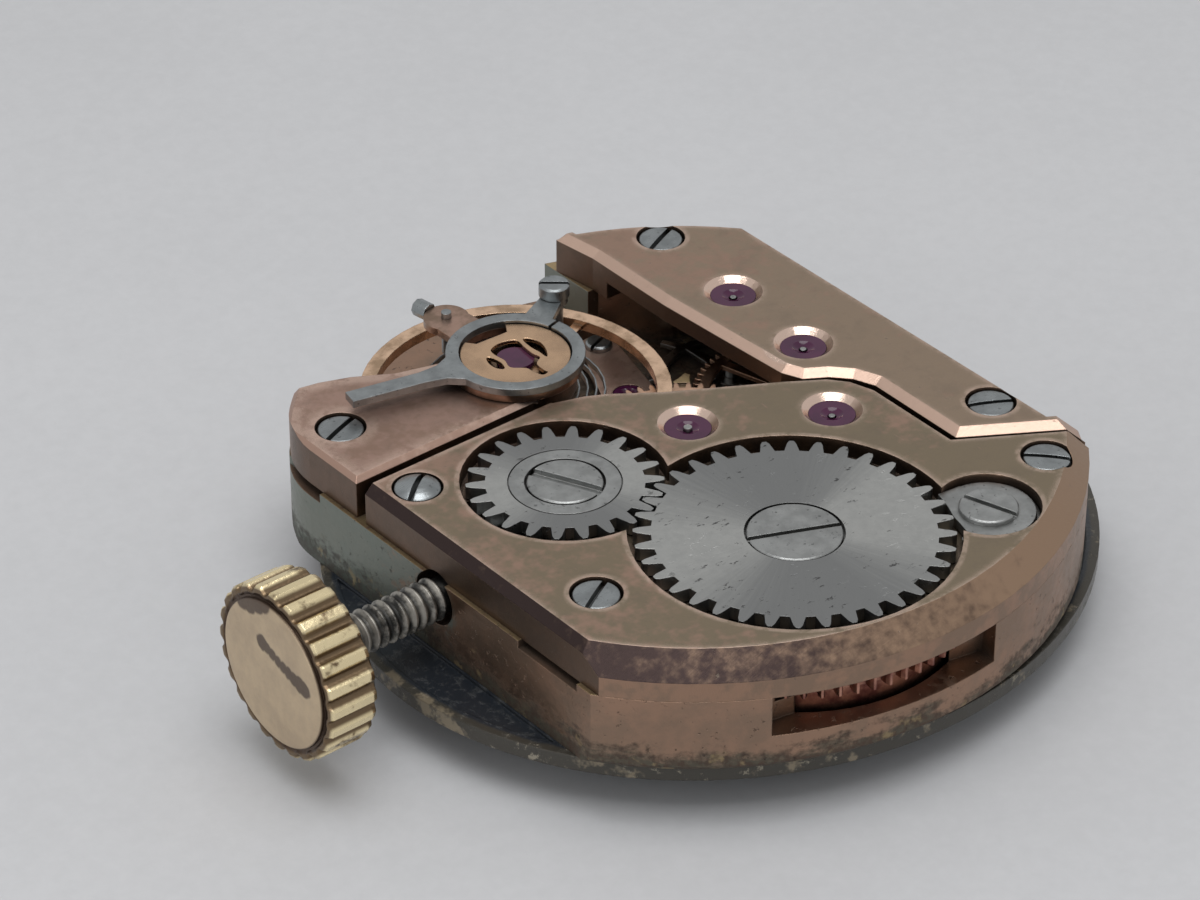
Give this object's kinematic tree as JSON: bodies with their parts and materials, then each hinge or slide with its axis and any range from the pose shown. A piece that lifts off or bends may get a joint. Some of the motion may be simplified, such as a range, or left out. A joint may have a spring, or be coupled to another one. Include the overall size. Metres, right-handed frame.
{
  "type": "watch movement",
  "caption": "Hand-wound tonneau wristwatch movement with copper-plated bridges, open winding wheels, jewelled train, sprung balance, stem and crown.",
  "frame": {"origin": "hand axis at the dial's front face", "axes": "+Z from the dial towards the bridges, -X along the winding stem towards the crown, +Y towards the balance"},
  "size_m": [0.0198, 0.0168, 0.0048],
  "materials": {
    "copper_plated": "copper-plated brass, brushed",
    "blued_steel": "polished grey-blue steel",
    "ruby": "polished synthetic ruby",
    "steel": "brushed steel",
    "brass": "gilt brass",
    "gilt": "worn gold plate",
    "dial_enamel": "dark lacquer over brass"
  },
  "bodies": {
    "frame": {"main_plate": "copper_plated", "barrel_bridge": "copper_plated", "train_bridge": "copper_plated", "balance_cock": "copper_plated", "pallet_bridge": "copper_plated", "barrel_bridge_screws": "blued_steel", "train_bridge_screws": "blued_steel", "balance_cock_screw": "blued_steel", "pallet_bridge_screw": "blued_steel", "setting_lever_screw": "blued_steel", "bridge_jewels": "ruby", "plate_jewels": "ruby", "crown_wheel_core": "steel", "crown_wheel_screw": "blued_steel", "click_screw": "blued_steel", "click_spring": "steel", "shock_setting": "gilt", "shock_jewel": "ruby", "shock_spring": "gilt", "setting_spring": "steel", "dial": "dial_enamel"},
    "ratchet": {"ratchet_wheel": "steel", "ratchet_screw": "steel", "barrel_arbor": "steel"},
    "barrel": {"barrel_drum": "brass", "barrel_cover": "brass", "mainspring": "steel"},
    "crown_wheel_body": {"crown_wheel": "steel"},
    "winding": {"winding_pinion": "steel"},
    "stem": {"winding_stem": "blued_steel", "crown": "gilt"},
    "clutch": {"sliding_pinion": "steel"},
    "lever": {"setting_lever": "steel"},
    "yoke_body": {"yoke": "steel"},
    "click_body": {"click": "steel"},
    "centre": {"centre_pinion": "steel", "centre_wheel": "brass", "cannon_pinion": "steel"},
    "third": {"third_pinion": "steel", "third_wheel": "brass"},
    "fourth": {"fourth_pinion": "steel", "fourth_wheel": "brass"},
    "escape": {"escape_pinion": "steel", "escape_wheel": "steel"},
    "pallets": {"pallet_fork": "steel", "pallet_stones": "ruby", "pallet_arbor": "steel"},
    "balance": {"balance_wheel": "brass", "balance_staff": "steel", "roller": "blued_steel", "hairspring_collet": "brass"},
    "regulator": {"regulator_index": "blued_steel", "regulator_boot": "blued_steel"},
    "carrier": {"stud_carrier": "brass", "stud_screw": "blued_steel", "hairspring_stud": "steel", "hairspring": "steel"},
    "setting": {"setting_wheel": "steel"},
    "minute": {"minute_wheel": "brass"},
    "hour": {"hour_wheel": "brass"}
  },
  "joints": [
    {"name": "ratchet_spin", "type": "hinge", "parent": "frame", "child": "ratchet", "pos_m": [-0.00084, -0.00435, 0.00265], "axis": [0, 0, 1], "continuous": true},
    {"name": "barrel_spin", "type": "hinge", "parent": "frame", "child": "barrel", "pos_m": [-0.00084, -0.00435, 0.0014], "axis": [0, 0, 1], "continuous": true},
    {"name": "crown_wheel_spin", "type": "hinge", "parent": "frame", "child": "crown_wheel_body", "pos_m": [-0.00333, 0, 0.00265], "axis": [0, 0, 1], "continuous": true},
    {"name": "winding_spin", "type": "hinge", "parent": "frame", "child": "winding", "pos_m": [-0.0055, 0, 0.00166], "axis": [1, 0, 0], "continuous": true},
    {"name": "crown_pull", "type": "slide", "parent": "winding", "child": "stem", "axis": [-1, 0, 0], "range_m": [0, 0.0004]},
    {"name": "clutch_slide", "type": "slide", "parent": "winding", "child": "clutch", "axis": [1, 0, 0], "range_m": [0, 0.00034]},
    {"name": "lever_swing", "type": "hinge", "parent": "frame", "child": "lever", "pos_m": [-0.00585, 0.00172, 0.0005], "axis": [0, 0, 1], "range_deg": [-17, 0]},
    {"name": "yoke_swing", "type": "hinge", "parent": "frame", "child": "yoke_body", "pos_m": [-0.0039, 0.0022, 0.0006], "axis": [0, 0, 1], "range_deg": [0, 12]},
    {"name": "click_lift", "type": "hinge", "parent": "frame", "child": "click_body", "pos_m": [0.00284, -0.00619, 0.00275], "axis": [0, 0, 1], "range_deg": [-15, 0], "stiffness_Nm_per_rad": 0.000001, "springref_deg": 5.73},
    {"name": "centre_spin", "type": "hinge", "parent": "frame", "child": "centre", "pos_m": [0, 0, 0.002], "axis": [0, 0, 1], "continuous": true},
    {"name": "third_spin", "type": "hinge", "parent": "frame", "child": "third", "pos_m": [0.0027, -0.00153, 0.0022], "axis": [0, 0, 1], "continuous": true},
    {"name": "fourth_spin", "type": "hinge", "parent": "frame", "child": "fourth", "pos_m": [0.00395, 0.0008, 0.0016], "axis": [0, 0, 1], "continuous": true},
    {"name": "escape_spin", "type": "hinge", "parent": "frame", "child": "escape", "pos_m": [0.00415, 0.00335, 0.0008], "axis": [0, 0, 1], "continuous": true},
    {"name": "pallet_swing", "type": "hinge", "parent": "frame", "child": "pallets", "pos_m": [0.0016, 0.00385, 0.00085], "axis": [0, 0, 1], "range_deg": [-5, 5]},
    {"name": "balance_swing", "type": "hinge", "parent": "frame", "child": "balance", "pos_m": [-0.00145, 0.004, 0.00225], "axis": [0, 0, 1], "range_deg": [-280, 280], "stiffness_Nm_per_rad": 0.000000034},
    {"name": "regulator_swing", "type": "hinge", "parent": "frame", "child": "regulator", "pos_m": [-0.00145, 0.004, 0.0033], "axis": [0, 0, 1], "range_deg": [-15, 15]},
    {"name": "stud_swing", "type": "hinge", "parent": "frame", "child": "carrier", "pos_m": [-0.00145, 0.004, 0.0031], "axis": [0, 0, 1], "range_deg": [-5, 5]},
    {"name": "setting_spin", "type": "hinge", "parent": "frame", "child": "setting", "pos_m": [-0.00275, 0.00033, 0.0006], "axis": [0, 0, 1], "continuous": true},
    {"name": "minute_spin", "type": "hinge", "parent": "frame", "child": "minute", "pos_m": [-0.00142, -0.001, 0.0006], "axis": [0, 0, 1], "continuous": true},
    {"name": "hour_spin", "type": "hinge", "parent": "frame", "child": "hour", "pos_m": [0, 0, 0.0002], "axis": [0, 0, 1], "continuous": true}
  ],
  "couplings": [
    {"joint": "crown_wheel_spin", "follows": "winding_spin", "ratio": 0.59091},
    {"joint": "ratchet_spin", "follows": "winding_spin", "ratio": -0.36111},
    {"joint": "clutch_slide", "follows": "crown_pull", "ratio": 0.85},
    {"joint": "lever_swing", "follows": "crown_pull", "rad_per_m": -735},
    {"joint": "yoke_swing", "follows": "crown_pull", "rad_per_m": 512},
    {"joint": "escape_spin", "follows": "fourth_spin", "ratio": -10},
    {"joint": "third_spin", "follows": "fourth_spin", "ratio": -0.13333},
    {"joint": "centre_spin", "follows": "fourth_spin", "ratio": 0.016667},
    {"joint": "barrel_spin", "follows": "fourth_spin", "ratio": -0.0030303},
    {"joint": "minute_spin", "follows": "fourth_spin", "ratio": -0.0055556},
    {"joint": "hour_spin", "follows": "fourth_spin", "ratio": 0.0013889},
    {"joint": "setting_spin", "follows": "fourth_spin", "ratio": 0.0125}
  ]
}
